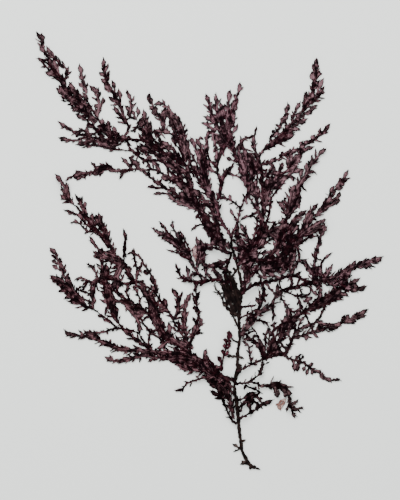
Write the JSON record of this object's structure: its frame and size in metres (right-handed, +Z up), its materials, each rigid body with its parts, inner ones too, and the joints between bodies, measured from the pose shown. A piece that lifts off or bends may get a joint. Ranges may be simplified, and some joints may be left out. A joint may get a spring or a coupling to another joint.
{
  "type": "pressed red seaweed specimen",
  "caption": "Pressed and dried bushy red seaweed lying flat: a thin stipe with branching, feathery fronds to both sides.",
  "frame": {"origin": "on the surface the specimen lies on, under the middle of the box round it", "axes": "+Z up from the surface it lies on; +Y from the holdfast towards the upper tips; +X to the right, seen from above"},
  "size_m": [0.1042, 0.132, 0.0038],
  "materials": {
    "main_axis": "dark maroon, nearly black, matt with a faint sheen",
    "upper_left_frond": "dark maroon, matt",
    "left_frond": "dark maroon, matt",
    "right_low_frond": "dark maroon, matt",
    "upper_right_frond": "dark maroon, matt",
    "right_middle_frond": "dark maroon, matt",
    "right_upper_frond": "dark maroon, matt",
    "centre_left_frond": "dark maroon, matt",
    "top_frond": "dark maroon, matt",
    "right_inner_frond": "dark maroon, matt",
    "left_basal_frond": "very dark maroon, matt",
    "right_basal_frond": "very dark maroon, matt",
    "right_arched_frond": "very dark maroon, matt",
    "red_sprig": "wine red, matt",
    "bleached_blade": "pale pinkish, bleached, matt",
    "bleached_loop": "pale buff, bleached, matt"
  },
  "bodies": {
    "root": {"main_axis": "main_axis", "upper_left_frond": "upper_left_frond", "left_frond": "left_frond", "right_low_frond": "right_low_frond", "upper_right_frond": "upper_right_frond", "right_middle_frond": "right_middle_frond", "right_upper_frond": "right_upper_frond", "centre_left_frond": "centre_left_frond", "top_frond": "top_frond", "right_inner_frond": "right_inner_frond", "left_basal_frond": "left_basal_frond", "right_basal_frond": "right_basal_frond", "right_arched_frond": "right_arched_frond", "red_sprig": "red_sprig", "bleached_blade": "bleached_blade", "bleached_loop": "bleached_loop"}
  },
  "joints": []
}
